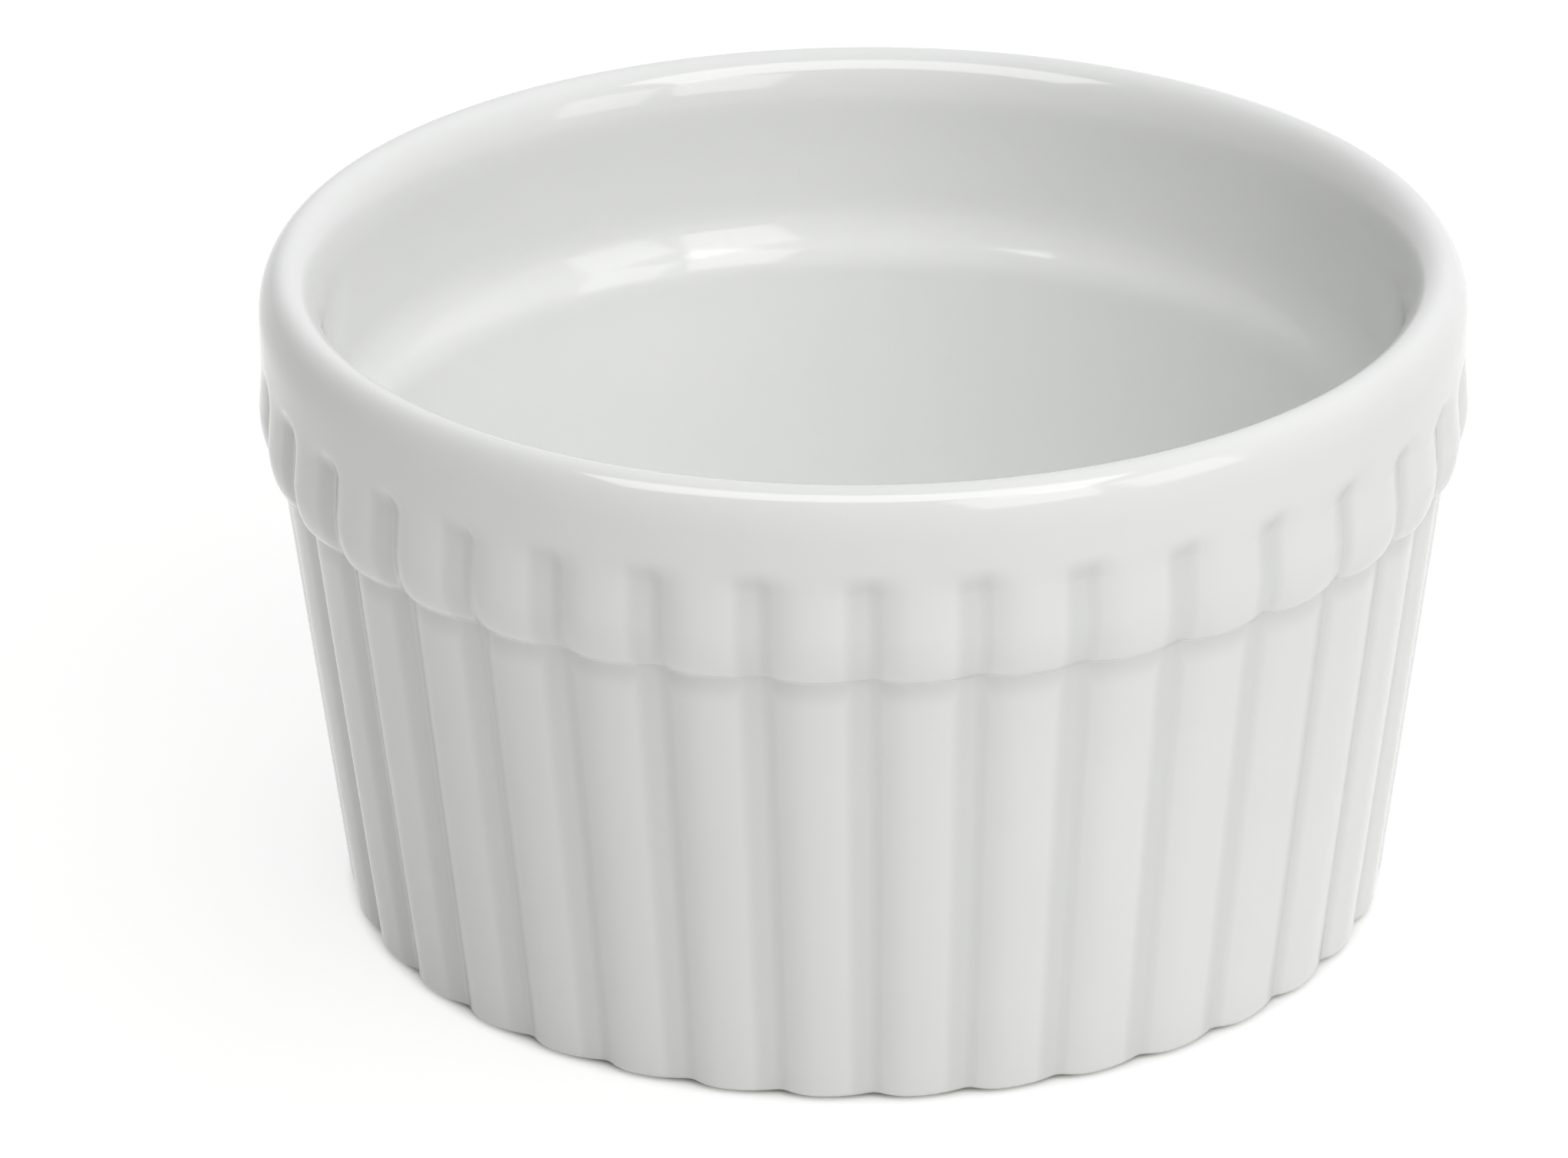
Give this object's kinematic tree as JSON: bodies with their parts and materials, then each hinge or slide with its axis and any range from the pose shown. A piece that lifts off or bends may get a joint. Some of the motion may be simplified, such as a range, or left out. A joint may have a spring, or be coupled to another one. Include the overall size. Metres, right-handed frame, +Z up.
{
  "type": "ramekin",
  "caption": "Round white porcelain ramekin: a straight-sided baking dish with fluted tapered walls, a raised fluted collar, a smooth rounded lip and a bare foot ring.",
  "frame": {"origin": "centre of the foot ring, on the surface that the ramekin stands on", "axes": "+Z up along the axis of the dish, a groove between two flutes faces -Y"},
  "size_m": [0.0898, 0.0898, 0.05],
  "materials": {
    "porcelain": "bare fired porcelain, matt and fine-grained, seen only on the foot ring",
    "glaze": "clear gloss glaze over white porcelain, softly rounded and slightly pooled in the grooves"
  },
  "bodies": {
    "root": {"porcelain_body": "porcelain", "glaze_coat": "glaze", "underside_glaze": "glaze"}
  },
  "joints": []
}
